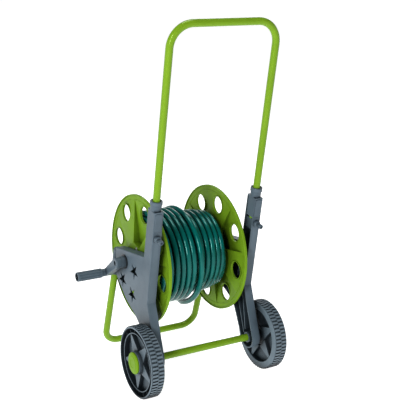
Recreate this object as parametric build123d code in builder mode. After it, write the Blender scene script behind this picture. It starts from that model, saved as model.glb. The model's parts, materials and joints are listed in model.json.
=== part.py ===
from build123d import *
import os
from math import asin, atan2, cos, hypot, pi, radians, sin

os.makedirs("parts", exist_ok=True)

# Garden hose reel cart. It is drawn with X = 0 on the middle plane, Y = 0 on the wheel axle and
# the axle at Z = AXLE_Z, so the floor is at FLOOR_Z. Minus X is the crank side, minus Y the user's
# side, plus Y the stand's side. Lengths are in millimetres and angles in degrees. Angles round
# the reel start at plus Y.

# ---- driving dimensions -------------------------------------------------------------------
WHEEL_R = 95.0
AXLE_Z = 90.0
WHEEL_WIDTH = 36.5
WHEEL_OUT = 202.3
CAP_R = 28.5
CAP_PROUD = 10.0
HUB_PROUD = 3.0
AXLE_R = 6.0

TUBE_R = 9.5
TUBE_BORE_R = 8.3
TUBE_X = 146.2

FRAME_OUT = 158.3
FRAME_DEPTH = 24.5
WALL = 3.0
POST_HALF = 18.75

HANDLE_TOP = (-66.6, 946.8)
COLLAR_TOP = (0.5, 509.4)
HANDLE_BEND_R = 57.0

FOOT_Y = 318.0
STAND_TOP = (226.0, 312.0)
STAND_BEND_R = 42.0

REEL_Y = 157.6
REEL_Z = 305.6
FLANGE_R = 174.75
FLANGE_X = 112.2
SECTORS = 8
SECTOR_START = 33.8
HUB_R = 46.0
RAISED = 15.2
SUNK = 4.2
DRUM_R = 68.0
JOURNAL_R = 10.0

HOSE_R = 8.0
CRANK_LENGTH = 80.0
CRANK_ANGLE = -36.5
ARM_OUT = 187.0
GRIP_R = 13.0
GRIP_LENGTH = 71.0
NECK_LENGTH = 10.0

RUN = 0.05
GAP = 0.3

# ---- places worked out from them ----------------------------------------------------------
FRAME_IN = FRAME_OUT - FRAME_DEPTH
WHEEL_IN = WHEEL_OUT - WHEEL_WIDTH
HUB_OUT = WHEEL_OUT + HUB_PROUD
FLOOR_Z = AXLE_Z - WHEEL_R
FOOT_Z = FLOOR_Z + TUBE_R
GRIP_IN = ARM_OUT + 0.5
GRIP_OUT = GRIP_IN + NECK_LENGTH + GRIP_LENGTH
GRIP_Y = REEL_Y + CRANK_LENGTH * cos(radians(CRANK_ANGLE))
GRIP_Z = REEL_Z + CRANK_LENGTH * sin(radians(CRANK_ANGLE))

LEAN = hypot(COLLAR_TOP[0] - HANDLE_TOP[0], COLLAR_TOP[1] - HANDLE_TOP[1])
DOWN_Y = (COLLAR_TOP[0] - HANDLE_TOP[0]) / LEAN
DOWN_Z = (COLLAR_TOP[1] - HANDLE_TOP[1]) / LEAN

# The library frame's origin is on the floor under the middle of the cart's box.
BOX_X = (WHEEL_OUT + CAP_PROUD - GRIP_OUT) / 2
BOX_Y = (REEL_Y + FLANGE_R - WHEEL_R) / 2
TO_FRAME = Location((-BOX_X, -BOX_Y, -FLOOR_Z))

FRONT_AXIS = Axis((0, 0, 0), (0, DOWN_Z, -DOWN_Y))
FRONT_UP = Axis((0, 0, 0), (0, -DOWN_Y, -DOWN_Z))
REEL_AXIS = Axis((0, REEL_Y, REEL_Z), (1, 0, 0))
WHEEL_AXIS = Axis((0, 0, AXLE_Z), (1, 0, 0))
REEL_PROFILE = Plane(origin=(0, REEL_Y, REEL_Z), x_dir=(1, 0, 0), z_dir=(0, -1, 0))
WHEEL_PROFILE = Plane(origin=(0, 0, AXLE_Z), x_dir=(1, 0, 0), z_dir=(0, -1, 0))


def save(part, name):
    """Moves a finished piece to the library frame, labels it and writes its file."""
    piece = part.moved(TO_FRAME)
    piece.label = name
    export_step(piece, f"parts/{name}.step")


def save_pair(part, name):
    """Writes the left piece and its mirror image on the right."""
    save(part, f"left_{name}")
    save(mirror(part, about=Plane.YZ), f"right_{name}")


def post_point(down, forward=0.0):
    """The (Y, Z) point this far down the post from the collar's top, and in front of its middle."""
    return (
        COLLAR_TOP[0] + down * DOWN_Y + forward * DOWN_Z,
        COLLAR_TOP[1] + down * DOWN_Z - forward * DOWN_Y,
    )


def post_plane(down, x=-TUBE_X, forward=0.0):
    """A plane across the post with its normal down the post and its local Y forwards."""
    y, z = post_point(down, forward)
    return Plane(origin=(x, y, z), x_dir=(1, 0, 0), z_dir=(0, DOWN_Y, DOWN_Z))


def front_plane(down, forward, x=-TUBE_X):
    """A plane along the post with its normal forwards, out of the post's front face."""
    y, z = post_point(down, forward)
    return Plane(origin=(x, y, z), x_dir=(1, 0, 0), z_dir=(0, DOWN_Z, -DOWN_Y))


def side_plane(x):
    """A plane across the cart, with local X along Y, local Y along Z and its normal along X."""
    return Plane(origin=(x, 0, 0), x_dir=(0, 1, 0), z_dir=(1, 0, 0))


def tangent_point(point, centre, radius, side):
    """Where the line from point touches a circle; side is 1 or -1 for the two tangents."""
    dy, dz = point[0] - centre[0], point[1] - centre[1]
    reach = hypot(dy, dz)
    angle = atan2(dz, dy) + side * (pi / 2 - asin(radius / reach))
    return (centre[0] + radius * cos(angle), centre[1] + radius * sin(angle))


def ring(profile, axis, arc=360.0):
    """A solid turned from a closed list of (x, radius) points about one of the cart's axes."""
    plane = REEL_PROFILE if axis is REEL_AXIS else WHEEL_PROFILE
    with BuildPart() as turned:
        with BuildSketch(plane):
            with BuildLine():
                Polyline(*profile, close=True)
            make_face()
        revolve(axis=axis, revolution_arc=arc)
    return turned.part


def tube_ring(x0, x1, inner, outer, axis):
    """A plain sleeve between two X values."""
    return ring([(x0, inner), (x1, inner), (x1, outer), (x0, outer)], axis)


def rod(x0, x1, radius, y, z):
    """A round bar along X."""
    with BuildPart() as bar:
        with BuildSketch(Plane(origin=(x0, y, z), x_dir=(0, 1, 0), z_dir=(1, 0, 0))):
            Circle(radius)
        extrude(amount=x1 - x0)
    return bar.part


def sweep_tube(points, bends, outer, inner=0.0):
    """A round tube, or a solid bar, along straight runs joined by bends."""
    with BuildPart() as pipe:
        with BuildLine() as route:
            FilletPolyline(*points, radius=bends)
        with BuildSketch(Plane(origin=route.line @ 0, z_dir=route.line % 0)):
            Circle(outer)
            if inner:
                Circle(inner, mode=Mode.SUBTRACT)
        sweep(path=route.line)
    return pipe.part


# ---- side frames ---------------------------------------------------------------------------
POST_TOP = 20.0
SOCKET_END = 75.0
TUBE_END = 82.0
PLUG_END = 112.0
GROOVE_END = 216.0
LOCK_DOWN = 91.5
BEND_DOWN = 276.0
FOOT_ROUND = 30.0
AXLE_CENTRE = (0.0, AXLE_Z)
REEL_CENTRE = (REEL_Y, REEL_Z)
PANEL_TOP_REAR = (215.5, 328.5)
PANEL_TOP_FRONT = (44.0, 355.0)
PANEL_REAR = (211.5, 251.0)
PANEL_LOW = (148.0, 200.0)
PANEL_LEG = (101.0, 180.0)
LEG_REAR = (72.0, 161.0)
STARS = ((101.0, 296.5), (170.0, 252.0), (112.0, 228.5))
STAR_R = 24.0
STAR_WAIST = 0.38
RIB = 2.4
RIBS = (
    ((14.0, 108.0), (38.0, 232.0)),
    ((20.0, 96.0), (62.0, 205.0)),
    ((62.0, 205.0), (140.0, 295.0)),
    ((62.0, 345.0), (140.0, 316.0)),
    ((176.0, 300.0), (208.0, 290.0)),
)
BOSS_R = 21.0
BUSH_R = 14.0
SLEEVE_R = 11.75
SHANK_R = 11.0
SHANK_END = 40.0
SLEEVE_LENGTH = 72.0
SCREW_R = 2.0
STAND_SCREW_DOWN = 34.0

stand_run = hypot(STAND_TOP[0] - FOOT_Y, STAND_TOP[1] - FOOT_Z)
STAND_UP = ((STAND_TOP[0] - FOOT_Y) / stand_run, (STAND_TOP[1] - FOOT_Z) / stand_run)


def frame_outline(inset=0.0):
    """The side frame's outline: the leaning post, the panel behind it and the leg to the axle."""
    bend = post_point(BEND_DOWN, POST_HALF)
    radius = FOOT_ROUND
    front_foot = tangent_point(bend, AXLE_CENTRE, radius, 1)
    rear_foot = tangent_point(LEG_REAR, AXLE_CENTRE, radius, -1)
    with BuildSketch() as outline:
        with BuildLine():
            Polyline(
                post_point(POST_TOP, POST_HALF),
                bend,
                front_foot,
                rear_foot,
                LEG_REAR,
                PANEL_LEG,
                PANEL_LOW,
                PANEL_REAR,
                PANEL_TOP_REAR,
                PANEL_TOP_FRONT,
                post_point(POST_TOP, -POST_HALF),
                close=True,
            )
        make_face()
        rounded = (
            (PANEL_TOP_REAR, 6.0),
            (PANEL_REAR, 16.0),
            (PANEL_LOW, 60.0),
            (PANEL_LEG, 30.0),
            (LEG_REAR, 25.0),
            (PANEL_TOP_FRONT, 5.0),
            (bend, 4.0),
        )
        for corner, size in rounded:
            vertex = outline.vertices().sort_by_distance((corner[0], corner[1], 0))[0]
            fillet(vertex, radius=size)
        with Locations(AXLE_CENTRE):
            Circle(radius)
        if inset:
            offset(amount=-inset)
    return outline.sketch


def rib(start, end):
    """A stiffening rib inside the moulding, between two (Y, Z) points."""
    with BuildPart() as plate:
        with BuildSketch(side_plane(-FRAME_OUT + 1)):
            with BuildLine():
                Line(start, end)
            trace(line_width=RIB)
        extrude(amount=FRAME_DEPTH - 4)
    return plate.part


def star_points(centre):
    """A five-pointed star with one point down."""
    points = []
    for step in range(10):
        reach = STAR_R if step % 2 == 0 else STAR_R * STAR_WAIST
        angle = radians(-90 + 36 * step)
        points.append((centre[0] + reach * cos(angle), centre[1] + reach * sin(angle)))
    return points


def post_block(x0, x1, rear, front, top, bottom):
    """A block in the post, from one place down it to another."""
    with BuildPart() as block:
        with BuildSketch(post_plane(top, x=(x0 + x1) / 2, forward=(rear + front) / 2)):
            Rectangle(x1 - x0, front - rear)
        extrude(amount=bottom - top)
    return block.part


def post_rod(top, bottom, radius, x=-TUBE_X, forward=0.0):
    """A round bar down the post."""
    with BuildPart() as bar:
        with BuildSketch(post_plane(top, x=x, forward=forward)):
            Circle(radius)
        extrude(amount=bottom - top)
    return bar.part


def front_rod(forward, reach, radius, down=LOCK_DOWN):
    """A round bar out of the post's front."""
    with BuildPart() as bar:
        with BuildSketch(front_plane(down, forward)):
            Circle(radius)
        extrude(amount=reach)
    return bar.part


def stand_rod(low, high, radius):
    """A round bar on the left stand leg's line, between two distances below its top."""
    y, z = STAND_TOP[0] - low * STAND_UP[0], STAND_TOP[1] - low * STAND_UP[1]
    with BuildPart() as bar:
        with BuildSketch(Plane(origin=(-TUBE_X, y, z), x_dir=(1, 0, 0), z_dir=(0, *STAND_UP))):
            Circle(radius)
        extrude(amount=low - high)
    return bar.part


def side_frame():
    """The left moulding: a shell open on the reel side, with its sockets, bosses and ribs."""
    with BuildPart() as frame:
        with BuildSketch(side_plane(-FRAME_OUT)):
            add(frame_outline())
        extrude(amount=FRAME_DEPTH)
        fillet(frame.faces().sort_by(Axis.X)[0].edges(), radius=2.0)
        with BuildSketch(side_plane(-FRAME_OUT + WALL)):
            add(frame_outline(WALL))
        extrude(amount=FRAME_DEPTH, mode=Mode.SUBTRACT)

        # the post's rear wall carries on down to the leg, and closes the handle's channel
        add(post_block(-FRAME_OUT + 1, -FRAME_IN, -POST_HALF, -POST_HALF + WALL, 21, 262))
        add(post_block(-FRAME_OUT + 1, -FRAME_IN, -POST_HALF + 1, POST_HALF - 1, 256, 259))
        # the handle socket: a solid block round the tube, clear of the rear wall
        add(post_block(-FRAME_OUT + 1, -FRAME_IN, -12.5, POST_HALF - 1, POST_TOP, SOCKET_END))
        add(post_block(-FRAME_OUT + 1, -FRAME_IN, -POST_HALF, POST_HALF, POST_TOP, 24))
        add(front_pad())

        for start, end in RIBS:
            add(rib(start, end))

        # bosses for the reel's bush and for the axle tube
        with BuildSketch(side_plane(-FRAME_OUT + 1)):
            with Locations(REEL_CENTRE):
                Circle(BOSS_R)
        extrude(amount=FRAME_DEPTH - 1)
        with BuildSketch(side_plane(-FRAME_OUT + 1)):
            with Locations(AXLE_CENTRE):
                Circle(TUBE_R + 5)
        extrude(amount=FRAME_DEPTH - 1)
        # the sleeve that takes the stand
        add(stand_rod(SLEEVE_LENGTH, -6, SLEEVE_R))

        # bores
        with BuildSketch(side_plane(-FRAME_OUT - 1)):
            with Locations(REEL_CENTRE):
                Circle(BUSH_R)
            with Locations(AXLE_CENTRE):
                Circle(AXLE_R)
            for star in STARS:
                with BuildLine():
                    Polyline(*star_points(star), close=True)
                make_face()
        extrude(amount=FRAME_DEPTH + 2, mode=Mode.SUBTRACT)
        with BuildSketch(side_plane(-FRAME_IN)):
            with Locations(AXLE_CENTRE):
                Circle(TUBE_R)
        extrude(amount=-16, mode=Mode.SUBTRACT)
        add(stand_rod(SLEEVE_LENGTH + 1, 0, TUBE_R), mode=Mode.SUBTRACT)
        add(post_rod(POST_TOP - 1, GROOVE_END, TUBE_R + 0.4), mode=Mode.SUBTRACT)
        add(post_rod(POST_TOP - 1, SHANK_END, SHANK_R), mode=Mode.SUBTRACT)
        add(front_rod(POST_HALF - WALL - 1, 6, 4.1), mode=Mode.SUBTRACT)
        add(rod(-TUBE_X, -FRAME_IN, SCREW_R, *stand_screw_point()), mode=Mode.SUBTRACT)
    return frame.part


def stand_screw_point():
    """Where, in (Y, Z), the stand's screw goes through the sleeve and the tube."""
    down = STAND_SCREW_DOWN
    return (STAND_TOP[0] - down * STAND_UP[0], STAND_TOP[1] - down * STAND_UP[1])


def front_pad():
    """The raised, round-topped pad over the handle socket on the post's front face."""
    with BuildPart() as pad:
        with BuildSketch(front_plane((POST_TOP + SOCKET_END) / 2 + 1, POST_HALF - 1)):
            RectangleRounded(20.0, SOCKET_END - POST_TOP - 6, 5.0)
        extrude(amount=3.0)
        fillet(pad.faces().sort_by(FRONT_AXIS)[-1].edges(), radius=1.5)
    return pad.part


save_pair(side_frame(), "side_frame")

# ---- handle --------------------------------------------------------------------------------
COLLAR_R = 15.8
COLLAR_BASE_R = 13.5
COLLAR_RISE = 5.0
PLUG_X = 8.6
PLUG_FORWARD = 15.3


def guide_bush():
    """The flared collar that guides the handle into the post."""
    with BuildPart() as bush:
        with BuildSketch(post_plane(9 - COLLAR_RISE)):
            Circle(COLLAR_R - 1.2)
        with BuildSketch(post_plane(POST_TOP)):
            Circle(COLLAR_BASE_R)
        loft(ruled=True)
        add(post_rod(-COLLAR_RISE, 10 - COLLAR_RISE, COLLAR_R))
        fillet(bush.edges().filter_by(GeomType.CIRCLE).group_by(FRONT_UP)[-1], radius=1.0)
        add(post_rod(POST_TOP - 1, SHANK_END, SHANK_R))
        add(post_rod(-COLLAR_RISE - 1, SHANK_END + 1, TUBE_R + RUN), mode=Mode.SUBTRACT)
        add(post_rod(-COLLAR_RISE - 1, 3 - COLLAR_RISE, TUBE_R + 2.2), mode=Mode.SUBTRACT)
    return bush.part


def handle_tube():
    """The bent steel handle, open at its two lower ends."""
    end = post_point(TUBE_END)
    corners = [
        (-TUBE_X, *end),
        (-TUBE_X, *HANDLE_TOP),
        (TUBE_X, *HANDLE_TOP),
        (TUBE_X, *end),
    ]
    return sweep_tube(corners, HANDLE_BEND_R, TUBE_R, TUBE_BORE_R)


def handle_plug():
    """The plastic foot of the handle, which slides in the post's channel."""
    left, right = -TUBE_X - PLUG_X, -TUBE_X + PLUG_X
    with BuildPart() as plug:
        add(post_block(left, right, -PLUG_FORWARD, PLUG_FORWARD, TUBE_END, PLUG_END))
        fillet(plug.edges().filter_by(Axis.X), radius=1.5)
        add(post_rod(TUBE_END - 25, TUBE_END + 1, TUBE_BORE_R))
    return plug.part


save_pair(guide_bush(), "guide_bush")
save(handle_tube(), "handle_tube")
save_pair(handle_plug(), "handle_plug")

# ---- handle locks --------------------------------------------------------------------------
PIN_R = 4.0
HOUSING_OUT = POST_HALF + 10.0
KNOB_OUT = POST_HALF + 26.0


def lock_housing():
    """The domed cap on the post's front that holds the lock pin and its spring."""
    with BuildPart() as housing:
        add(front_rod(POST_HALF, HOUSING_OUT - POST_HALF, 9.0))
        fillet(housing.edges().sort_by(FRONT_AXIS)[-1], radius=3.5)
        add(front_rod(POST_HALF - 1, 9.3, 6.3), mode=Mode.SUBTRACT)
        add(front_rod(POST_HALF - 1, 12, PIN_R + RUN), mode=Mode.SUBTRACT)
    return housing.part


def lock_pin():
    """The pin with its spring collar and its round pull knob."""
    with BuildPart() as pin:
        add(front_rod(KNOB_OUT - 9.5, 9.5, 6.25))
        fillet(pin.edges().filter_by(GeomType.CIRCLE), radius=2.0)
        add(front_rod(PLUG_FORWARD + 0.5, KNOB_OUT - 3 - PLUG_FORWARD, PIN_R - RUN))
        add(front_rod(POST_HALF + 0.3, 1.3, 5.8))
        add(front_rod(KNOB_OUT - 2.0, 3.0, 3.0), mode=Mode.SUBTRACT)
    return pin.part


def lock_spring():
    """The coil spring round the pin that pushes it home."""
    with BuildPart() as spring:
        base = front_plane(LOCK_DOWN, POST_HALF + 2.4)
        with BuildLine():
            coil = Helix(pitch=1.6, height=5.0, radius=5.1, center=base.origin, direction=base.z_dir)
        with BuildSketch(Plane(origin=coil @ 0, z_dir=coil % 0)):
            Circle(0.5)
        sweep(path=coil, is_frenet=True)
    return spring.part


save_pair(lock_housing(), "lock_housing")
save_pair(lock_pin(), "lock_pin")
save_pair(lock_spring(), "lock_spring")

# ---- stand and axle ------------------------------------------------------------------------
ROD_END = 195.0
WASHER_R = 13.0


def stand_tube():
    """The bent steel stand, pushed up into the side frames' sleeves."""
    corners = [
        (-TUBE_X, *STAND_TOP),
        (-TUBE_X, FOOT_Y, FOOT_Z),
        (TUBE_X, FOOT_Y, FOOT_Z),
        (TUBE_X, *STAND_TOP),
    ]
    with BuildPart() as stand:
        add(sweep_tube(corners, STAND_BEND_R, TUBE_R, TUBE_BORE_R))
        for x in (-TUBE_X, FRAME_IN):
            add(rod(x, x + TUBE_X - FRAME_IN, SCREW_R, *stand_screw_point()), mode=Mode.SUBTRACT)
    return stand.part


def pan_head_screw(plane, length, radius, head_r, head_height):
    """A pan-head screw whose head sits on the plane, its shank running against the normal."""
    with BuildPart() as screw:
        with BuildSketch(plane):
            Circle(head_r)
        extrude(amount=head_height)
        fillet(screw.faces().sort_by(SortBy.DISTANCE, reverse=True)[0].edges(), radius=0.8)
        with BuildSketch(plane):
            Circle(radius)
        extrude(amount=-length)
    return screw.part


def stand_screws():
    """One self-tapping screw on each side, through the sleeve into the stand."""
    y, z = stand_screw_point()
    plane = Plane(origin=(-TUBE_X + SLEEVE_R, y, z), x_dir=(0, 1, 0), z_dir=(1, 0, 0))
    screw = pan_head_screw(plane, 9.0, SCREW_R, 3.8, 2.2)
    return Part(children=[screw, mirror(screw, about=Plane.YZ)])


def axle_tube():
    """The painted tube between the two side frames."""
    inside = FRAME_IN + 15.5
    return tube_ring(-inside, inside, AXLE_R + 0.5, TUBE_R, WHEEL_AXIS)


def axle_washers():
    """One washer each side, between the side frame and the wheel's hub."""
    washer = tube_ring(-FRAME_OUT - 2.6, -FRAME_OUT, AXLE_R, WASHER_R, WHEEL_AXIS)
    return Part(children=[washer, mirror(washer, about=Plane.YZ)])


def push_caps():
    """The spring-steel push-on caps that keep the wheels on the rod."""
    cap = ring(
        [
            (-ROD_END, 0),
            (-ROD_END, AXLE_R),
            (-ROD_END + 5, AXLE_R),
            (-ROD_END + 5, AXLE_R + 6),
            (-ROD_END + 4, AXLE_R + 6),
            (-ROD_END + 3, AXLE_R + 1),
            (-ROD_END - 1, AXLE_R + 1),
            (-ROD_END - 2, AXLE_R - 2),
            (-ROD_END - 2, 0),
        ],
        WHEEL_AXIS,
    )
    return Part(children=[cap, mirror(cap, about=Plane.YZ)])


save(stand_tube(), "stand_tube")
save(stand_screws(), "stand_screws")
save(axle_tube(), "axle_tube")
save(rod(-ROD_END, ROD_END, AXLE_R, 0, AXLE_Z), "axle_rod")
save(axle_washers(), "axle_washers")
save(push_caps(), "push_caps")

# ---- wheels --------------------------------------------------------------------------------
BAND_R = WHEEL_R - 2.6
BAND_IN = 89.0
LIP_OUT = 77.0
LIP_IN = 74.5
LIP_DEPTH = 3.5
WEB_OUT = 185.0
WEB_IN = 181.0
HUB_TUBE_R = 15.0
HUB_WALL_R = 30.0
HUB_POCKET_R = CAP_R - 4.0
SPOKES = 5
SPOKE_ROOT = 19.0
SPOKE_TIP = 4.6
SPOKE_TAPER = 9.0
SPOKE_OUT = 195.5
SPOKE_BACK = 171.0
LEFT_TURN = 56.0
RIGHT_TURN = 3.0
CHANNEL_RIBS = 20
CHANNEL_FLOOR = WHEEL_IN + 4.0
LUGS = 60
LUG_WIDTH = 14.6
LUG_THICK = 5.2
LUG_ROW = 8.6
LUG_ROOT = 1.0


def wheel(turn):
    """A wheel as on the left: tread band, deep channel, lipped ring, web, spokes and hub."""
    body = ring(
        [
            (-WHEEL_OUT, BAND_IN),
            (-WHEEL_OUT, BAND_R - 0.6),
            (-WHEEL_OUT + 0.8, BAND_R + 0.4),
            (-WHEEL_OUT + 1.6, BAND_R + 0.4),
            (-WHEEL_OUT + 2.0, BAND_R),
            (-WHEEL_IN - 1.6, BAND_R),
            (-WHEEL_IN, BAND_R - 1.6),
            (-WHEEL_IN, LIP_IN + 1),
            (-WHEEL_IN - 1, LIP_IN),
            (-WEB_IN, LIP_IN),
            (-WEB_IN, HUB_WALL_R),
            (-WHEEL_IN - 6, HUB_WALL_R - 4),
            (-WHEEL_IN - 6, HUB_TUBE_R),
            (-FRAME_OUT - 3, HUB_TUBE_R),
            (-FRAME_OUT - 3, AXLE_R + RUN),
            (-ROD_END + 6, AXLE_R + RUN),
            (-ROD_END + 6, HUB_POCKET_R),
            (-HUB_OUT, HUB_POCKET_R),
            (-HUB_OUT, HUB_WALL_R - 0.8),
            (-HUB_OUT + 0.8, HUB_WALL_R),
            (-WEB_OUT, HUB_WALL_R + 2.5),
            (-WEB_OUT, LIP_IN),
            (-WHEEL_OUT + LIP_DEPTH + 0.4, LIP_IN),
            (-WHEEL_OUT + LIP_DEPTH, LIP_IN + 0.5),
            (-WHEEL_OUT + LIP_DEPTH, LIP_OUT - 0.5),
            (-WHEEL_OUT + LIP_DEPTH + 0.4, LIP_OUT),
            (-CHANNEL_FLOOR, LIP_OUT),
            (-CHANNEL_FLOOR, BAND_IN),
        ],
        WHEEL_AXIS,
    )
    outer_spoke = spoke(-WEB_OUT + 1, SPOKE_OUT - WEB_OUT + 1, -1)
    inner_spoke = spoke(-WEB_IN - 1, WEB_IN + 1 - SPOKE_BACK, 1)
    with BuildPart() as whole:
        add(body)
        for step in range(SPOKES):
            add(outer_spoke.rotate(WHEEL_AXIS, turn + 360 * step / SPOKES))
            add(inner_spoke.rotate(WHEEL_AXIS, turn + 360 * step / SPOKES))
        add(channel_ribs())
        add(tread())
    return whole.part


def spoke(x, height, side):
    """A flat-topped spoke, broad at the hub and narrow at the ring, drawn along plus Y."""
    plane = Plane(origin=(x, 0, AXLE_Z), x_dir=(0, 1, 0), z_dir=(side, 0, 0))
    with BuildPart() as wedge:
        with BuildSketch(plane):
            with BuildLine():
                Polyline(
                    (CAP_R - 3, -SPOKE_ROOT),
                    (LIP_IN + 1.2, -SPOKE_TIP),
                    (LIP_IN + 1.2, SPOKE_TIP),
                    (CAP_R - 3, SPOKE_ROOT),
                    close=True,
                )
            make_face()
        extrude(amount=height, taper=SPOKE_TAPER)
    return wedge.part


def channel_ribs():
    """The low ribs across the channel between the ring and the tread band."""
    with BuildPart() as plate:
        with BuildSketch(Plane(origin=(-WHEEL_OUT + 9, 0, 0), x_dir=(0, 1, 0), z_dir=(1, 0, 0))):
            with Locations((0, AXLE_Z + (LIP_OUT + BAND_IN) / 2)):
                Rectangle(1.8, BAND_IN - LIP_OUT + 1)
        extrude(amount=WHEEL_OUT - 9 - CHANNEL_FLOOR + 1)
    one = plate.part
    turns = [360 * step / CHANNEL_RIBS for step in range(CHANNEL_RIBS)]
    return Compound(children=[one.rotate(WHEEL_AXIS, turn) for turn in turns])


def tread():
    """Two staggered rows of cross lugs, and the low ridge between them."""
    middle = -(WHEEL_OUT + WHEEL_IN) / 2
    low, high = BAND_R - LUG_ROOT, WHEEL_R - 0.04
    lugs = [tube_ring(middle - 0.9, middle + 0.9, low, high - 0.6, WHEEL_AXIS)]
    for row in (-1, 1):
        with BuildPart() as lug:
            with BuildSketch(Plane.XZ):
                with Locations((middle + row * LUG_ROW, AXLE_Z + (low + high) / 2)):
                    Rectangle(LUG_WIDTH, high - low)
            extrude(amount=LUG_THICK / 2, both=True)
            fillet(lug.edges().filter_by(Axis.Y).sort_by(Axis.Z)[-2:], radius=1.0)
        for step in range(LUGS):
            turn = 360 * (step + row / 4) / LUGS
            lugs.append(lug.part.rotate(WHEEL_AXIS, turn))
    return Compound(children=lugs)


def hub_cap():
    """The green snap-in cap over the wheel's hub."""
    outer = -WHEEL_OUT - CAP_PROUD
    return ring(
        [
            (outer + 0.7, 0),
            (outer + 0.7, 11),
            (outer, 12),
            (outer, 19.5),
            (outer + 0.9, 20.5),
            (outer + 0.9, 24),
            (outer + 2.2, 27),
            (outer + 3.8, CAP_R),
            (-HUB_OUT - 0.4, CAP_R),
            (-HUB_OUT - 0.4, HUB_POCKET_R - 0.5),
            (-HUB_OUT + 2.5, HUB_POCKET_R - 0.5),
            (-HUB_OUT + 2.5, HUB_POCKET_R - 2.5),
            (outer + 5.0, HUB_POCKET_R - 2.5),
            (outer + 3.0, 16),
            (outer + 3.0, 0),
        ],
        WHEEL_AXIS,
    )


save(wheel(LEFT_TURN), "left_wheel")
save(mirror(wheel(RIGHT_TURN), about=Plane.YZ), "right_wheel")
save_pair(hub_cap(), "hub_cap")

# ---- reel ----------------------------------------------------------------------------------
SKIN = 2.5
RIM_IN = 161.0
RIM_WIDTH = 8.0
HOLE_R = 23.5
HOLE_CIRCLE = 131.5
HOLE_START = 11.3
HOLE_LIP = 2.0
HOLE_STAGGER = 2.0
COLLAR_BACK = 3.2
COLLAR_LENGTH = 6.4
BEAD = 0.9
HUB_FACE = FLANGE_X + RAISED + SKIN / 2
BOSS_END = 131.5
SCREW_CIRCLE = 37.0
SCREW_START = 19.0
DRUM_HALF = 106.0
DRUM_WALL = 2.6
HUB_BACK = DRUM_HALF + 0.15
SQUARE = 14.0


def around_reel(radius, angle):
    """The (Y, Z) point at this radius and angle round the reel's axis."""
    turn = radians(angle)
    return (REEL_Y + radius * cos(turn), REEL_Z + radius * sin(turn))


def dish_x(radius, side):
    """The middle of a sector's skin at this radius; side is 1 for raised, -1 for sunk."""
    depth = RAISED if side > 0 else -SUNK
    return -FLANGE_X - depth * (RIM_IN - radius) / (RIM_IN - HUB_R)


def sector(side):
    """One eighth of the dished web, turned from plus Z."""
    inner = HUB_R - 1
    half = SKIN / 2
    return ring(
        [
            (dish_x(inner, side) - half, inner),
            (dish_x(inner, side) + half, inner),
            (-FLANGE_X + half, RIM_IN + 1),
            (-FLANGE_X - half, RIM_IN + 1),
        ],
        REEL_AXIS,
        360 / SECTORS,
    )


def step_wall():
    """The radial wall that closes the step between two sectors."""
    inner = HUB_R - 1
    half = SKIN / 2
    with BuildPart() as wall:
        with BuildSketch(REEL_PROFILE):
            with BuildLine():
                Polyline(
                    (dish_x(inner, 1) - half, inner),
                    (dish_x(inner, -1) + half, inner),
                    (-FLANGE_X + half, RIM_IN),
                    (-FLANGE_X - half, RIM_IN),
                    close=True,
                )
            make_face()
        extrude(amount=half, both=True)
    return wall.part


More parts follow.
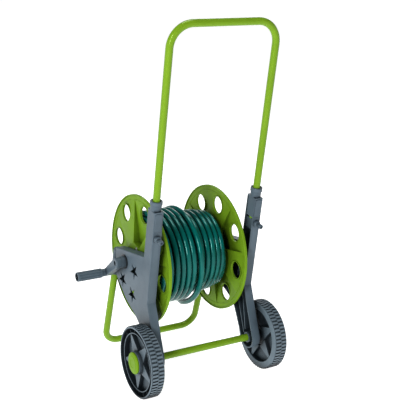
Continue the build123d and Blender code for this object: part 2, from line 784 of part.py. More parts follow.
def flange(square):
    """The left flange, with a square socket for the crank or a round bore for the water tube."""
    rim = ring(
        [
            (-FLANGE_X - SKIN / 2, RIM_IN - 2),
            (-FLANGE_X - SKIN / 2 - BEAD, RIM_IN - 1),
            (-FLANGE_X - SKIN / 2 - BEAD, RIM_IN),
            (-FLANGE_X - SKIN / 2, RIM_IN + 1),
            (-FLANGE_X - SKIN / 2, FLANGE_R - 3.4),
            (-FLANGE_X - RIM_WIDTH / 2, FLANGE_R - 2.8),
            (-FLANGE_X - RIM_WIDTH / 2, FLANGE_R - 0.9),
            (-FLANGE_X - RIM_WIDTH / 2 + 0.9, FLANGE_R),
            (-FLANGE_X + RIM_WIDTH / 2 - 0.9, FLANGE_R),
            (-FLANGE_X + RIM_WIDTH / 2, FLANGE_R - 0.9),
            (-FLANGE_X + RIM_WIDTH / 2, FLANGE_R - 2.8),
            (-FLANGE_X + SKIN / 2, FLANGE_R - 3.4),
            (-FLANGE_X + SKIN / 2, RIM_IN + 1),
            (-FLANGE_X + SKIN / 2 + BEAD, RIM_IN),
            (-FLANGE_X + SKIN / 2 + BEAD, RIM_IN - 1),
            (-FLANGE_X + SKIN / 2, RIM_IN - 2),
        ],
        REEL_AXIS,
    )
    pitch = 360 / SECTORS
    with BuildPart() as disc:
        add(rim)
        for step in range(SECTORS):
            turn = SECTOR_START + step * pitch - 90
            add(sector(1 if step % 2 == 0 else -1).rotate(REEL_AXIS, turn))
            add(step_wall().rotate(REEL_AXIS, turn))
            hole_radius = HOLE_CIRCLE + (HOLE_STAGGER if step % 2 == 0 else 0)
            lip_x = dish_x(hole_radius, 1 if step % 2 == 0 else -1)
            with BuildSketch(side_plane(lip_x - COLLAR_BACK)):
                with Locations(around_reel(HOLE_CIRCLE, HOLE_START + (step + 1) * pitch)):
                    Circle(HOLE_R + HOLE_LIP)
            extrude(amount=COLLAR_LENGTH)
        with BuildSketch(side_plane(-HUB_FACE)):
            with Locations(REEL_CENTRE):
                RegularPolygon(HUB_R + 2, SECTORS, rotation=SECTOR_START)
        extrude(amount=HUB_FACE - HUB_BACK)
        with BuildSketch(side_plane(-HUB_FACE + SKIN)):
            with Locations(REEL_CENTRE):
                RegularPolygon(HUB_R - 1, SECTORS, rotation=SECTOR_START)
        extrude(amount=HUB_FACE, mode=Mode.SUBTRACT)
        with BuildSketch(side_plane(-BOSS_END)):
            with Locations(REEL_CENTRE):
                Circle(14.0)
        extrude(amount=BOSS_END - HUB_BACK)
        with BuildSketch(side_plane(-HUB_FACE + 1)):
            for step in range(4):
                with Locations(around_reel(SCREW_CIRCLE, SCREW_START + 90 * step)):
                    Circle(SCREW_R + 3)
        extrude(amount=HUB_FACE - HUB_BACK - 1)
        with BuildSketch(side_plane(-BOSS_END - 1)):
            for step in range(SECTORS):
                with Locations(around_reel(HOLE_CIRCLE, HOLE_START + step * pitch)):
                    Circle(HOLE_R)
            for step in range(4):
                with Locations(around_reel(SCREW_CIRCLE, SCREW_START + 90 * step)):
                    Circle(SCREW_R + 0.1)
            with Locations(REEL_CENTRE):
                if square:
                    Rectangle(SQUARE + 0.3, SQUARE + 0.3)
                else:
                    Circle(JOURNAL_R + 0.1)
        extrude(amount=BOSS_END, mode=Mode.SUBTRACT)
    return disc.part


def drum_half(turn):
    """Half of the drum's shell with its end plates; turn is where the half begins."""
    shell = ring(
        [
            (-DRUM_HALF, 16),
            (-DRUM_HALF, DRUM_R),
            (DRUM_HALF, DRUM_R),
            (DRUM_HALF, 16),
            (DRUM_HALF - DRUM_WALL, 16),
            (DRUM_HALF - DRUM_WALL, DRUM_R - DRUM_WALL),
            (-DRUM_HALF + DRUM_WALL, DRUM_R - DRUM_WALL),
            (-DRUM_HALF + DRUM_WALL, 16),
        ],
        REEL_AXIS,
        180,
    )
    with BuildPart() as half:
        add(shell.rotate(REEL_AXIS, turn - 90))
        with BuildSketch(side_plane(-DRUM_HALF - 1)):
            for step in range(4):
                with Locations(around_reel(SCREW_CIRCLE, SCREW_START + 90 * step)):
                    Circle(SCREW_R + 0.1)
        extrude(amount=2 * DRUM_HALF + 2, mode=Mode.SUBTRACT)
        if turn > 0:
            add(hose_window(), mode=Mode.SUBTRACT)
    return half.part


# ---- water way -----------------------------------------------------------------------------
OUTLET_X = 84.0
OUTLET_ANGLE = 50.0
OUTLET_REACH = 53.0
TUBE_NOSE = 182.0
NOSE_R = 8.0
WATER_R = 5.0
BUSH_FLANGE = 2.0
INLET_X = 176.0
NIPPLE_R = 7.8
NIPPLE_TOP = REEL_Z - 31.0
NIPPLE_GROOVE = REEL_Z - 46.0
NIPPLE_END = REEL_Z - 53.0


def hose_window():
    """The slot in the drum through which the hose climbs from the outlet to its first turn."""
    slot = ring(
        [
            (OUTLET_X - 11, DRUM_R - 6),
            (OUTLET_X - 11, DRUM_R + 1),
            (DRUM_HALF - DRUM_WALL, DRUM_R + 1),
            (DRUM_HALF - DRUM_WALL, DRUM_R - 6),
        ],
        REEL_AXIS,
        115,
    )
    return slot.rotate(REEL_AXIS, OUTLET_ANGLE + 45 - 90)


def along_outlet(reach, forward):
    """A point on the outlet's line: out from the axis, and forwards the way the hose leaves."""
    turn = radians(OUTLET_ANGLE)
    y = REEL_Y + reach * cos(turn) - forward * sin(turn)
    z = REEL_Z + reach * sin(turn) + forward * cos(turn)
    return (OUTLET_X, y, z)


def outlet_rod(forward, length, radius):
    """A round bar on the outlet's line."""
    turn = radians(OUTLET_ANGLE)
    plane = Plane(
        origin=along_outlet(OUTLET_REACH, forward),
        x_dir=(1, 0, 0),
        z_dir=(0, -sin(turn), cos(turn)),
    )
    with BuildPart() as bar:
        with BuildSketch(plane):
            Circle(radius)
        extrude(amount=length)
    return bar.part


def outlet_elbow():
    """The elbow inside the drum, ending in the spigot that the hose is pushed on."""
    bend = [
        along_outlet(0, 0),
        along_outlet(OUTLET_REACH, -14),
        along_outlet(OUTLET_REACH, 0),
    ]
    with BuildPart() as elbow:
        add(sweep_tube(bend, 9.0, 7.5))
        add(tube_ring(OUTLET_X - 12, OUTLET_X + 12, 0.0, 14.0, REEL_AXIS))
        add(outlet_rod(-0.5, 12.5, 6.0))
        add(sweep_tube(bend, 9.0, 4.0), mode=Mode.SUBTRACT)
        add(outlet_rod(-1, 14, 4.0), mode=Mode.SUBTRACT)
        add(tube_ring(OUTLET_X - 5, OUTLET_X + 13, 0.0, JOURNAL_R, REEL_AXIS), mode=Mode.SUBTRACT)
    return elbow.part


def hose_clamp():
    """The band that grips the hose on the spigot."""
    with BuildPart() as band:
        add(outlet_rod(2, 7, HOSE_R + 1.0))
        add(outlet_rod(1, 9, HOSE_R + 0.1), mode=Mode.SUBTRACT)
    return band.part


def water_tube():
    """The hollow axle on which the reel turns on the water side."""
    return ring(
        [
            (OUTLET_X - 5, WATER_R),
            (OUTLET_X - 5, JOURNAL_R),
            (FRAME_OUT + BUSH_FLANGE + GAP, JOURNAL_R),
            (FRAME_OUT + BUSH_FLANGE + GAP, NOSE_R),
            (168.0, NOSE_R),
            (168.0, NOSE_R - 1.1),
            (170.2, NOSE_R - 1.1),
            (170.2, NOSE_R),
            (177.0, NOSE_R),
            (177.0, NOSE_R - 1.1),
            (179.2, NOSE_R - 1.1),
            (179.2, NOSE_R),
            (TUBE_NOSE, NOSE_R),
            (TUBE_NOSE, WATER_R),
        ],
        REEL_AXIS,
    )


def tube_seals():
    """The two sealing rings on the water tube's nose."""
    first = tube_ring(168.1, 170.1, NOSE_R - 1.05, NOSE_R - 0.03, REEL_AXIS)
    second = tube_ring(177.1, 179.1, NOSE_R - 1.05, NOSE_R - 0.03, REEL_AXIS)
    return Part(children=[first, second])


def water_circlip():
    """The split ring that keeps the water tube from moving in."""
    shoulder = FRAME_OUT + BUSH_FLANGE + GAP
    with BuildPart() as clip:
        add(tube_ring(shoulder, shoulder + 1.2, NOSE_R, NOSE_R + 4.5, REEL_AXIS))
        with Locations((shoulder, REEL_Y, REEL_Z + NOSE_R + 2)):
            Box(4, 5, 9, mode=Mode.SUBTRACT)
    return clip.part


def reel_bush():
    """The flanged plastic bush in the left side frame."""
    return ring(
        [
            (-FRAME_OUT - BUSH_FLANGE, JOURNAL_R + RUN),
            (-FRAME_OUT - BUSH_FLANGE, 19.0),
            (-FRAME_OUT, 19.0),
            (-FRAME_OUT, BUSH_R),
            (-FRAME_IN, BUSH_R),
            (-FRAME_IN, JOURNAL_R + RUN),
        ],
        REEL_AXIS,
    )


def drop_rod(top, bottom, radius):
    """A round bar down from the inlet."""
    with BuildPart() as bar:
        with BuildSketch(Plane(origin=(INLET_X, REEL_Y, bottom))):
            Circle(radius)
        extrude(amount=top - bottom)
    return bar.part


def inlet_elbow():
    """The swivelling inlet with its push-fit nipple pointing down."""
    with BuildPart() as inlet:
        add(tube_ring(162.3, 190.0, 0.0, 13.0, REEL_AXIS))
        fillet(inlet.faces().sort_by(Axis.X)[-1].edges(), radius=2.5)
        with BuildSketch(Plane(origin=(INLET_X, REEL_Y, NIPPLE_TOP + 2))):
            RegularPolygon(11.5, 6)
        extrude(amount=20)
        add(drop_rod(NIPPLE_TOP + 2, NIPPLE_TOP, 9.5))
        add(drop_rod(NIPPLE_TOP, NIPPLE_END, NIPPLE_R))
        chamfer(inlet.edges().filter_by(GeomType.CIRCLE).sort_by(Axis.Z)[0], length=0.8)
        add(tube_ring(162, 184, 0.0, NOSE_R + RUN, REEL_AXIS), mode=Mode.SUBTRACT)
        add(drop_rod(REEL_Z, NIPPLE_END - 1, 4.5), mode=Mode.SUBTRACT)
        groove = drop_rod(NIPPLE_GROOVE, NIPPLE_GROOVE - 3, NIPPLE_R + 1) - drop_rod(
            NIPPLE_GROOVE + 1, NIPPLE_GROOVE - 4, NIPPLE_R - 1.6
        )
        add(groove, mode=Mode.SUBTRACT)
    return inlet.part


def inlet_seal():
    """The sealing ring in the nipple's groove."""
    outer = drop_rod(NIPPLE_GROOVE - 0.1, NIPPLE_GROOVE - 2.9, NIPPLE_R - 0.05)
    return outer - drop_rod(NIPPLE_GROOVE, NIPPLE_GROOVE - 3, NIPPLE_R - 1.55)


def flange_screws():
    """Four screws through each flange into the drum."""
    screws = []
    for side in (-1, 1):
        for step in range(4):
            y, z = around_reel(SCREW_CIRCLE, SCREW_START + 90 * step)
            plane = Plane(origin=(side * HUB_FACE, y, z), x_dir=(0, 1, 0), z_dir=(side, 0, 0))
            screws.append(pan_head_screw(plane, HUB_FACE - DRUM_HALF + 4, SCREW_R, 4.0, 2.4))
    return Part(children=screws)


save(flange(True), "left_flange")
save(mirror(flange(False), about=Plane.YZ), "right_flange")
save(drum_half(-90), "drum_rear_half")
save(drum_half(90), "drum_front_half")
save(flange_screws(), "flange_screws")
save_pair(reel_bush(), "reel_bush")
save(water_tube(), "water_tube")
save(tube_seals(), "water_tube_seals")
save(water_circlip(), "water_tube_circlip")
save(outlet_elbow(), "outlet_elbow")
save(hose_clamp(), "hose_clamp")
save(inlet_elbow(), "inlet_elbow")
save(inlet_seal(), "inlet_seal")

# ---- crank ---------------------------------------------------------------------------------
ARM_THICK = 17.0
HUB_ARM_R = 14.0
PIN_END_R = 10.5
GRIP_PIN_R = 4.0
HOLLOW = 14.0
SCREW_RECESS = 9.0


def crank_arm():
    """The moulded crank: arm, hub, journal and the square end that drives the reel."""
    with BuildPart() as crank:
        with BuildSketch(side_plane(-ARM_OUT)):
            with Locations(REEL_CENTRE):
                Circle(HUB_ARM_R)
            with Locations((GRIP_Y, GRIP_Z)):
                Circle(PIN_END_R)
            make_hull()
        extrude(amount=ARM_THICK)
        fillet(crank.faces().sort_by(Axis.X)[0].edges(), radius=3.0)
        add(rod(-ARM_OUT + ARM_THICK - 1, -FRAME_OUT - BUSH_FLANGE - GAP, 15.5, *REEL_CENTRE))
        add(rod(-FRAME_OUT - BUSH_FLANGE - 1, -BOSS_END - 1, JOURNAL_R, *REEL_CENTRE))
        with BuildSketch(side_plane(-BOSS_END - 1.5)):
            with Locations(REEL_CENTRE):
                Rectangle(SQUARE, SQUARE)
        extrude(amount=16)
        add(rod(-ARM_OUT - 1, -ARM_OUT + SCREW_RECESS, 6.0, *REEL_CENTRE), mode=Mode.SUBTRACT)
        add(rod(-ARM_OUT - 1, -BOSS_END + 20, 2.6, *REEL_CENTRE), mode=Mode.SUBTRACT)
        add(rod(-ARM_OUT - 1, -ARM_OUT + ARM_THICK - 3, GRIP_PIN_R, GRIP_Y, GRIP_Z), mode=Mode.SUBTRACT)
    return crank.part


def crank_screw():
    """The long screw that pulls the crank into the reel."""
    head = -ARM_OUT + SCREW_RECESS
    plane = Plane(origin=(head, REEL_Y, REEL_Z), x_dir=(0, 1, 0), z_dir=(-1, 0, 0))
    return pan_head_screw(plane, 60.0, 2.5, 5.6, 2.8)


def crank_grip():
    """The turning grip: a necked, fluted sleeve with a hollow outer end."""
    with BuildPart() as grip:
        add(rod(-GRIP_OUT, -GRIP_IN - NECK_LENGTH, GRIP_R, GRIP_Y, GRIP_Z))
        fillet(grip.edges().filter_by(GeomType.CIRCLE), radius=1.5)
        add(rod(-GRIP_IN - NECK_LENGTH - 1, -GRIP_IN, GRIP_R - 2.2, GRIP_Y, GRIP_Z))
        with BuildSketch(side_plane(-GRIP_OUT + 6)):
            for step in range(12):
                turn = radians(30 * step)
                with Locations((GRIP_Y + 13.6 * cos(turn), GRIP_Z + 13.6 * sin(turn))):
                    Circle(1.6)
        extrude(amount=GRIP_LENGTH - 12, mode=Mode.SUBTRACT)
        add(rod(-GRIP_OUT - 1, -GRIP_IN + 1, GRIP_PIN_R + RUN, GRIP_Y, GRIP_Z), mode=Mode.SUBTRACT)
        add(rod(-GRIP_OUT - 1, -GRIP_OUT + HOLLOW, GRIP_R - 2.8, GRIP_Y, GRIP_Z), mode=Mode.SUBTRACT)
    return grip.part


def grip_pin():
    """The steel pin that the grip turns on, headed inside the grip's hollow end."""
    head = -GRIP_OUT + HOLLOW - GAP
    with BuildPart() as pin:
        add(rod(head - 3, head, 7.0, GRIP_Y, GRIP_Z))
        add(rod(head - 1, -ARM_OUT + ARM_THICK - 3, GRIP_PIN_R, GRIP_Y, GRIP_Z))
    return pin.part


save(crank_arm(), "crank_arm")
save(crank_screw(), "crank_screw")
save(crank_grip(), "crank_grip")
save(grip_pin(), "grip_pin")

# ---- hose ----------------------------------------------------------------------------------
CONNECTOR_X = 30.0
CONNECTOR_ANGLE = -32.0
CONNECTOR_REACH = 128.5
LAYER_3 = 113.7
LAYER_4 = 128.2


def hose_winding():
    """The outer shape of the wound hose: four layers on the crank side, three on the other."""
    return ring(
        [
            (-100.5, DRUM_R + GAP),
            (-100.5, 92.0),
            (-105.0, 108.0),
            (-105.5, LAYER_4 - 6),
            (-101.0, LAYER_4),
            (9.0, LAYER_4),
            (15.0, LAYER_3 + 6),
            (15.0, LAYER_3),
            (98.0, LAYER_3),
            (104.0, LAYER_3 - 6),
            (104.0, 104.0),
            (100.5, 92.0),
            (100.5, DRUM_R + GAP),
        ],
        REEL_AXIS,
    )


def connector_rod(forward, length, radius):
    """A round bar on the line of the hose's free end, behind the winding."""
    turn = radians(CONNECTOR_ANGLE)
    ahead = (0, -sin(turn), cos(turn))
    y, z = around_reel(CONNECTOR_REACH, CONNECTOR_ANGLE)
    origin = (CONNECTOR_X, y + forward * ahead[1], z + forward * ahead[2])
    with BuildPart() as bar:
        with BuildSketch(Plane(origin=origin, x_dir=(1, 0, 0), z_dir=ahead)):
            Circle(radius)
        extrude(amount=length)
    return bar.part


def connector_nut():
    """The nut that clamps the hose's end."""
    with BuildPart() as nut:
        add(connector_rod(0, 16, 13.0))
        fillet(nut.edges().filter_by(GeomType.CIRCLE), radius=1.5)
        add(connector_rod(-1, 13, HOSE_R + 0.2), mode=Mode.SUBTRACT)
        add(connector_rod(11, 6, 6.0), mode=Mode.SUBTRACT)
    return nut.part


def connector_body():
    """The quick connector's body: hose tail behind, click socket in front."""
    with BuildPart() as body:
        add(connector_rod(2, 15, 5.9))
        add(connector_rod(16, 4, 11.5))
        add(connector_rod(19, 31, 9.6))
        add(connector_rod(1, 40, 4.4), mode=Mode.SUBTRACT)
        add(connector_rod(34, 17, NIPPLE_R + 0.25), mode=Mode.SUBTRACT)
    return body.part


def connector_collar():
    """The collar that is pulled back to release the connector."""
    with BuildPart() as collar:
        add(connector_rod(26, 20, 13.0))
        fillet(collar.edges().filter_by(GeomType.CIRCLE), radius=1.5)
        add(connector_rod(25, 22, 9.6 + RUN), mode=Mode.SUBTRACT)
    return collar.part


save(hose_winding(), "hose_winding")
save(connector_nut(), "connector_nut")
save(connector_body(), "connector_body")
save(connector_collar(), "connector_collar")
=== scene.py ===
import json
from math import atan, cos, degrees, hypot, pi, radians, sin

import bpy
from mathutils import Matrix, Vector


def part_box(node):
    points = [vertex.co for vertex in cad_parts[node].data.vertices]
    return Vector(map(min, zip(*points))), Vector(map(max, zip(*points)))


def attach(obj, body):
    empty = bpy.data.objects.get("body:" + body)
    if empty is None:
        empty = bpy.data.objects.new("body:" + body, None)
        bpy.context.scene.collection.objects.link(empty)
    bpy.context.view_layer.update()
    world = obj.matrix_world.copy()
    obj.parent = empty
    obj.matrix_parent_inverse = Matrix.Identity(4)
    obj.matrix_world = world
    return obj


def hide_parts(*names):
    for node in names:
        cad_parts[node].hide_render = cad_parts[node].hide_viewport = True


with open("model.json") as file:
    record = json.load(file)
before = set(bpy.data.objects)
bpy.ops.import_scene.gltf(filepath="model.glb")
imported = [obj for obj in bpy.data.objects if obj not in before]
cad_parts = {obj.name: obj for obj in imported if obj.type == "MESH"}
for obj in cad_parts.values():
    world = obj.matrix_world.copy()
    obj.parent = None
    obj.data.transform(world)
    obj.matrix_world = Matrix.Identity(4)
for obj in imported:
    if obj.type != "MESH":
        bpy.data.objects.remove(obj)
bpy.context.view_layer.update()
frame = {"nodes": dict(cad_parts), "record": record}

# Garden hose reel cart. The CAD nodes are the frame; this script gives them their finishes and
# lays the hose on the reel turn by turn. Lengths are in metres, except where a comment says
# millimetres. Angles round the reel are in degrees from +Y, which points away from the user.

MM = 0.001


# ---- places taken from the frame -----------------------------------------------------------
def middle(node):
    """The middle of a CAD node's box."""
    low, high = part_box(node)
    return (Vector(low) + Vector(high)) / 2


LEFT_FLANGE = middle("left_flange")
RIGHT_FLANGE = middle("right_flange")
REEL = Vector(((LEFT_FLANGE.x + RIGHT_FLANGE.x) / 2, LEFT_FLANGE.y, LEFT_FLANGE.z))
AXLE = middle("axle_rod")


def on_reel(x, radius, angle):
    """A point by its distance along the reel from the middle, its radius and its angle."""
    turn = radians(angle)
    return REEL + Vector((x, radius * cos(turn), radius * sin(turn)))


# ---- camera --------------------------------------------------------------------------------
CAMERA_AZIMUTH = -30.64
CAMERA_ELEVATION = 16.85
CAMERA_ROLL = 1.43
CAMERA_DISTANCE = 2.3195
CAMERA_AIM = Vector((0.0009, 0.0, 0.386))
CAMERA_LENS = 79.1


def make_camera():
    """The camera, at the cart's front left and a little above it."""
    azimuth = radians(CAMERA_AZIMUTH)
    elevation = radians(CAMERA_ELEVATION)
    roll = radians(CAMERA_ROLL)
    back = Vector(
        (sin(azimuth) * cos(elevation), -cos(azimuth) * cos(elevation), sin(elevation))
    )
    level = Vector((cos(azimuth), sin(azimuth), 0))
    upright = back.cross(level)
    right = level * cos(roll) + upright * sin(roll)
    up = upright * cos(roll) - level * sin(roll)
    aim = Vector((REEL.x, AXLE.y, AXLE.z)) + CAMERA_AIM
    place = Matrix((right, up, back)).transposed().to_4x4()
    place.translation = aim + back * CAMERA_DISTANCE
    lens = bpy.data.cameras.new("camera")
    lens.lens = CAMERA_LENS
    lens.sensor_width = 36
    lens.clip_start = 0.05
    lens.clip_end = 200
    camera = bpy.data.objects.new("camera", lens)
    camera.matrix_world = place
    bpy.context.collection.objects.link(camera)
    bpy.context.scene.camera = camera


make_camera()

# ---- hose ----------------------------------------------------------------------------------
# A half-inch hose, 16 mm outside and nominally 25 m long; the route measures 24.4 m. It leaves
# the outlet inside the drum, climbs on to the drum and is wound in four layers, the last only
# part of the way across. The last turn is loose: it lies over the top, sags below and ends in
# the connector behind.
HOSE_R = 8 * MM
POINTS_A_TURN = 16
# a spline of order 3 runs this much inside its control points
POLYGON = cos(pi / POINTS_A_TURN)

# places along the reel and radii are in millimetres from here to WINDS
OUTLET_X = 84
OUTLET_REACH = 53
OUTLET_ANGLE = 50
SPIGOT = (2, 14)
CLIMB_END = 200
CLIMB_STEPS = 7
FIRST_X = 92
LAYER_1, LAYER_2, LAYER_3, LAYER_4 = 76.5, 91.0, 105.5, 120.0
# turns, then the place along the reel and the radius at their end
WINDS = (
    (11.2, -92, LAYER_1),
    (0.5, -93, LAYER_2),
    (9.5, 64, LAYER_2),
    (1.0, 96, 97.0),
    (2.7, 52, LAYER_3),
    (8.9, -96, LAYER_3),
    (0.5, -96.5, LAYER_4),
    # wound by hand, so the top layer's turns lie unevenly
    (1.0, -75, LAYER_4),
    (1.0, -57, 120.3),
    (1.0, -41, 119.8),
    (1.0, -24, 120.2),
    (1.2, -6, LAYER_4),
    # the loose turn: over the top, down the front, below and up to the connector
    (70 / 360, -3, 124.0),
    (62 / 360, 4, 124.0),
    (40 / 360, 6, 125.5),
    (32 / 360, 6, 129.0),
    (33 / 360, 3, 135.5),
    (23 / 360, 12, 138.0),
    (20 / 360, 25, 136.5),
    (14 / 360, 30, 133.0),
    (14 / 360, 30, 128.5),
)


def ease(t):
    """A smooth 0 to 1."""
    return t * t * (3 - 2 * t)


def spigot_points():
    """Straight off the outlet's spigot."""
    turn = radians(OUTLET_ANGLE)
    out = Vector((OUTLET_X, OUTLET_REACH * cos(turn), OUTLET_REACH * sin(turn)))
    along = Vector((0, -sin(turn), cos(turn)))
    return [REEL + (out + along * forward) * MM for forward in SPIGOT]


def climb_points():
    """Up through the drum's window on to the drum."""
    spigot_end = SPIGOT[-1] / OUTLET_REACH
    start_angle = OUTLET_ANGLE + degrees(atan(spigot_end))
    start_r = OUTLET_REACH * hypot(1, spigot_end)
    points = []
    for step in range(1, CLIMB_STEPS + 1):
        t = step / CLIMB_STEPS
        x = OUTLET_X + (FIRST_X - OUTLET_X) * ease(t)
        radius = LAYER_1 - (LAYER_1 - start_r) * (1 - t) ** 2
        angle = start_angle + (CLIMB_END - start_angle) * t
        points.append(on_reel(x * MM, radius * MM, angle))
    return points


def wound_points():
    """Round and round the drum, by the rows of WINDS."""
    points = []
    angle, x, radius = CLIMB_END, FIRST_X, LAYER_1
    for turns, next_x, next_r in WINDS:
        steps = max(2, round(turns * POINTS_A_TURN))
        for step in range(1, steps + 1):
            t = step / steps
            along = x + (next_x - x) * t
            out = radius + (next_r - radius) * ease(t)
            points.append(on_reel(along * MM, out * MM / POLYGON, angle + 360 * turns * t))
        angle, x, radius = angle + 360 * turns, next_x, next_r
    return points


def hose():
    """The hose, from the outlet's spigot to the connector."""
    curve = bpy.data.curves.new("hose", "CURVE")
    curve.dimensions = "3D"
    curve.bevel_depth = HOSE_R
    curve.bevel_resolution = 5
    curve.resolution_u = 5
    spline = curve.splines.new("NURBS")
    points = spigot_points() + climb_points() + wound_points()
    spline.points.add(len(points) - 1)
    for slot, point in zip(spline.points, points):
        slot.co = (*point, 1)
    spline.order_u = 3
    spline.use_endpoint_u = True
    piece = bpy.data.objects.new("hose", curve)
    bpy.context.collection.objects.link(piece)
    piece.data.materials.append(MATERIALS["hose_vinyl"])
    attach(piece, "reel")
    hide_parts("hose_winding")


# ---- finishes ------------------------------------------------------------------------------
GREEN = (0.126, 0.240, 0.010)
GREY = (0.063, 0.090, 0.113)
BLACK = (0.012, 0.015, 0.018)
TYRE_GREY = (0.093, 0.126, 0.153)
TEAL = (0.0005, 0.078, 0.068)
ZINC = (0.62, 0.61, 0.58)
BRASS = (0.75, 0.55, 0.25)
STEEL = (0.45, 0.45, 0.45)
RUBBER = (0.012, 0.012, 0.012)
WHITE = (1, 1, 1)
# tints of the gloss
GREEN_SHEEN = (0.62, 0.90, 0.15)
TEAL_SHEEN = (0.12, 0.80, 0.70)
# painted shade: what the colour is multiplied by in the deepest recess
SHADE = (0.05, 0.06, 0.065)
COAT_IOR = 1.8
# pointiness where wear begins along an edge, and where it is full
WORN_FROM, WORN_FULL = 0.52, 0.60
GRAIN_DEPTH = 0.4 * MM


def finish_nodes(name):
    """A new material, its node tree and its shader."""
    material = bpy.data.materials.new(name)
    material.use_nodes = True
    tree = material.node_tree
    return material, tree, tree.nodes["Principled BSDF"]


def noise(tree, scale, detail=2.0):
    """Noise that stays in place on the piece."""
    place = tree.nodes.new("ShaderNodeTexCoord")
    node = tree.nodes.new("ShaderNodeTexNoise")
    node.inputs["Scale"].default_value = scale
    node.inputs["Detail"].default_value = detail
    tree.links.new(place.outputs["Object"], node.inputs["Vector"])
    return node.outputs["Fac"]


def mapped(tree, value, start, end, low, high, way="LINEAR"):
    """A value that goes from start to end, turned into one from low to high."""
    node = tree.nodes.new("ShaderNodeMapRange")
    node.interpolation_type = way
    node.inputs["From Min"].default_value = start
    node.inputs["From Max"].default_value = end
    node.inputs["To Min"].default_value = low
    node.inputs["To Max"].default_value = high
    tree.links.new(value, node.inputs["Value"])
    return node.outputs["Result"]


def mixed(tree, factor, colour, other, blend="MIX"):
    """The colour, blended with another one by the factor."""
    node = tree.nodes.new("ShaderNodeMix")
    node.data_type = "RGBA"
    node.blend_type = blend
    node.inputs["B"].default_value = (*other, 1)
    tree.links.new(factor, node.inputs["Factor"])
    tree.links.new(colour, node.inputs["A"])
    return node.outputs["Result"]


def shaded(tree, colour, dark, light, scale):
    """A colour that drifts a little between a darker and a lighter one."""
    ramp = tree.nodes.new("ShaderNodeValToRGB")
    low, high = ramp.color_ramp.elements
    low.position = 0.3
    high.position = 0.7
    low.color = (*(c * dark for c in colour), 1)
    high.color = (*(c * light for c in colour), 1)
    tree.links.new(noise(tree, scale, detail=4.0), ramp.inputs["Fac"])
    return ramp.outputs["Color"]


def worn(tree, colour, pale, strength):
    """The colour, paler along edges."""
    shape = tree.nodes.new("ShaderNodeNewGeometry")
    edge = mapped(tree, shape.outputs["Pointiness"], WORN_FROM, WORN_FULL, 0.0, strength)
    return mixed(tree, edge, colour, pale)


def painted_recess_shade(tree, colour, reach, strength, shut_at, open_at):
    """The colour, darker in recesses: painted shade, where less light gets in."""
    hollow = tree.nodes.new("ShaderNodeAmbientOcclusion")
    hollow.samples = 8
    hollow.inputs["Distance"].default_value = reach
    depth = mapped(tree, hollow.outputs["AO"], shut_at, open_at, strength, 0.0)
    return mixed(tree, depth, colour, SHADE, "MULTIPLY")


def grained(tree, shader, scale, strength, edge_r=0):
    """A fine grain in the surface, and edges that catch the light as if rounded."""
    bump = tree.nodes.new("ShaderNodeBump")
    bump.inputs["Strength"].default_value = strength
    bump.inputs["Distance"].default_value = GRAIN_DEPTH
    tree.links.new(noise(tree, scale, detail=3.0), bump.inputs["Height"])
    if edge_r:
        soft = tree.nodes.new("ShaderNodeBevel")
        soft.samples = 4
        soft.inputs["Radius"].default_value = edge_r
        tree.links.new(soft.outputs["Normal"], bump.inputs["Normal"])
    tree.links.new(bump.outputs["Normal"], shader.inputs["Normal"])


def mottled_roughness(tree, shader, low, high, scale):
    """Roughness that varies over the surface."""
    rough = mapped(tree, noise(tree, scale), 0.0, 1.0, low, high)
    tree.links.new(rough, shader.inputs["Roughness"])


def glossed(shader, gloss, sheen, coat, coat_rough):
    """The surface's own tinted gloss, and a clear coat over it."""
    shader.inputs["Specular IOR Level"].default_value = gloss
    shader.inputs["Specular Tint"].default_value = (*sheen, 1)
    shader.inputs["Coat Weight"].default_value = coat
    shader.inputs["Coat Roughness"].default_value = coat_rough
    shader.inputs["Coat IOR"].default_value = COAT_IOR


def moulded(
    name,
    colour,
    rough,
    grain=0.15,
    edge_r=0.8 * MM,
    wear=0.25,
    gloss=0.18,
    sheen=WHITE,
    coat=0.0,
    # strength of the painted shade in recesses
    painted_shade=0.9,
    shut_at=0.35,
    open_at=0.9,
):
    """Moulded plastic."""
    material, tree, shader = finish_nodes(name)
    pale = tuple(min(1.0, c * 1.5 + 0.02) for c in colour)
    drift = shaded(tree, colour, dark=0.92, light=1.08, scale=35.0)
    base = worn(tree, drift, pale, strength=wear)
    # painted shade: the colour is darkened in recesses, where less light gets in
    surface = painted_recess_shade(
        tree, base, reach=50 * MM, strength=painted_shade, shut_at=shut_at, open_at=open_at
    )
    tree.links.new(surface, shader.inputs["Base Color"])
    glossed(shader, gloss, sheen, coat, coat_rough=0.25)
    mottled_roughness(tree, shader, low=rough - 0.06, high=rough + 0.06, scale=60.0)
    grained(tree, shader, scale=1600.0, strength=grain, edge_r=edge_r)
    return material


def painted(name, colour, sheen):
    """Powder-coated steel tube: glossy, with a faint orange-peel."""
    material, tree, shader = finish_nodes(name)
    base = shaded(tree, colour, dark=0.94, light=1.06, scale=12.0)
    tree.links.new(base, shader.inputs["Base Color"])
    glossed(shader, gloss=0.28, sheen=sheen, coat=0.04, coat_rough=0.12)
    mottled_roughness(tree, shader, low=0.20, high=0.30, scale=90.0)
    grained(tree, shader, scale=420.0, strength=0.12)
    return material


def metal(name, colour, rough, streak):
    """Bare or plated metal with fine marks."""
    material, tree, shader = finish_nodes(name)
    base = shaded(tree, colour, dark=0.85, light=1.1, scale=streak)
    tree.links.new(base, shader.inputs["Base Color"])
    shader.inputs["Metallic"].default_value = 1.0
    mottled_roughness(tree, shader, low=rough - 0.08, high=rough + 0.08, scale=streak * 2)
    grained(tree, shader, scale=900.0, strength=0.2, edge_r=0.4 * MM)
    return material


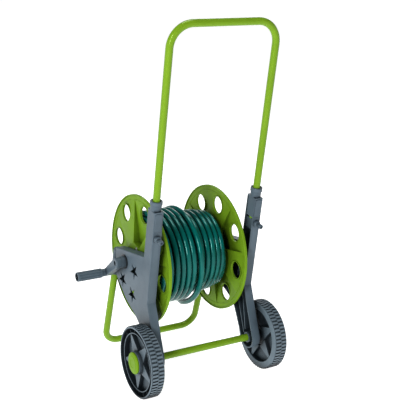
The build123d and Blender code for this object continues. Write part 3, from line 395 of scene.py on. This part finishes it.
def vinyl(name, colour, sheen):
    """The hose's glossy sheath."""
    material, tree, shader = finish_nodes(name)
    base = shaded(tree, colour, dark=0.8, light=1.2, scale=22.0)
    # painted shade in the gaps between the hose's turns
    surface = painted_recess_shade(tree, base, reach=12 * MM, strength=1.0, shut_at=0.3, open_at=0.95)
    tree.links.new(surface, shader.inputs["Base Color"])
    glossed(shader, gloss=0.45, sheen=sheen, coat=0.10, coat_rough=0.12)
    mottled_roughness(tree, shader, low=0.16, high=0.26, scale=70.0)
    grained(tree, shader, scale=700.0, strength=0.08)
    return material


MATERIALS = {
    "grey_moulding": moulded("grey_moulding", GREY, rough=0.42),
    "dark_moulding": moulded("dark_moulding", BLACK, rough=0.45),
    "crank_moulding": moulded("crank_moulding", GREY, rough=0.36),
    "green_moulding": moulded(
        "green_moulding",
        GREEN,
        rough=0.36,
        wear=0.15,
        gloss=0.04,
        sheen=GREEN_SHEEN,
        coat=0.02,
        # strength of the painted shade in the green mouldings' recesses
        painted_shade=0.75,
    ),
    "green_tube": painted("green_tube", GREEN, GREEN_SHEEN),
    "housing_moulding": moulded("housing_moulding", GREY, rough=0.4),
    "wheel_moulding": moulded(
        "wheel_moulding",
        TYRE_GREY,
        rough=0.5,
        grain=0.25,
        # strong painted shade in the wheels' deep channel and pockets
        painted_shade=1.0,
        shut_at=0.5,
        open_at=1.0,
    ),
    "zinc_steel": metal("zinc_steel", ZINC, rough=0.35, streak=80.0),
    "water_tube_brass": metal("water_tube_brass", BRASS, rough=0.3, streak=60.0),
    "spring_steel": metal("spring_steel", STEEL, rough=0.3, streak=120.0),
    "seal_rubber": moulded("seal_rubber", RUBBER, rough=0.55, edge_r=0, wear=0.0),
    "hose_vinyl": vinyl("hose_vinyl", TEAL, TEAL_SHEEN),
}


def dress_nodes():
    """Gives each CAD node the finish of its material slot."""
    for part in frame["record"]["subparts"]:
        node = frame["nodes"][part["node"]]
        node.data.materials.clear()
        node.data.materials.append(MATERIALS[part["material_slot"]])


dress_nodes()
hose()

# ---- studio --------------------------------------------------------------------------------
LIGHTS_AIM_HEIGHT = 0.45
FLOOR_HALF = 60.0
# just below the wheels and the stand's foot
FLOOR_HEIGHT = -0.5 * MM
FLOOR_GLOW = 0.90
# the surround's strength at the horizon and above, and the heights between which it changes,
# each the sine of an elevation
HORIZON_STRENGTH, SKY_STRENGTH = 1.0, 0.10
HORIZON_TOP, SKY_BOTTOM = 0.13, 0.25


def area_light(name, place, size, power):
    """A soft light of this width and height, aimed at a point above the wheels' axle."""
    data = bpy.data.lights.new(name, "AREA")
    data.shape = "RECTANGLE"
    data.size, data.size_y = size
    data.energy = power
    light = bpy.data.objects.new(name, data)
    light.location = place
    aim = Vector((REEL.x, AXLE.y, LIGHTS_AIM_HEIGHT)) - Vector(place)
    light.rotation_euler = aim.to_track_quat("-Z", "Y").to_euler()
    bpy.context.collection.objects.link(light)


def make_floor():
    """A wide, plain, pale floor."""
    half = FLOOR_HALF
    corners = [(-half, -half, 0), (half, -half, 0), (half, half, 0), (-half, half, 0)]
    mesh = bpy.data.meshes.new("floor")
    mesh.from_pydata(corners, [], [(0, 1, 2, 3)])
    floor = bpy.data.objects.new("floor", mesh)
    floor.location.z = FLOOR_HEIGHT
    bpy.context.collection.objects.link(floor)
    material, _, shader = finish_nodes("floor")
    shader.inputs["Base Color"].default_value = (0.9, 0.9, 0.9, 1)
    shader.inputs["Roughness"].default_value = 0.9
    shader.inputs["Specular IOR Level"].default_value = 0.1
    shader.inputs["Emission Color"].default_value = (1, 1, 1, 1)
    shader.inputs["Emission Strength"].default_value = FLOOR_GLOW
    mesh.materials.append(material)


def make_world():
    """A surround that is white at the horizon, like the floor, and dim above it."""
    world = bpy.data.worlds.new("studio")
    world.use_nodes = True
    tree = world.node_tree
    background = tree.nodes["Background"]
    background.inputs["Color"].default_value = (1, 1, 1, 1)
    place = tree.nodes.new("ShaderNodeTexCoord")
    parts = tree.nodes.new("ShaderNodeSeparateXYZ")
    tree.links.new(place.outputs["Generated"], parts.inputs["Vector"])
    strength = mapped(
        tree,
        parts.outputs["Z"],
        HORIZON_TOP,
        SKY_BOTTOM,
        HORIZON_STRENGTH,
        SKY_STRENGTH,
        "SMOOTHSTEP",
    )
    tree.links.new(strength, background.inputs["Strength"])
    bpy.context.scene.world = world


make_floor()
make_world()
bpy.context.scene.view_settings.view_transform = "Standard"
area_light("key", place=(-2.25, -1.8, 1.4), size=(0.45, 1.4), power=77)
area_light("top", place=(0.2, 0.3, 3.2), size=(1.2, 1.2), power=43)
area_light("rim", place=(1.6, 2.0, 1.6), size=(1.2, 1.2), power=12)
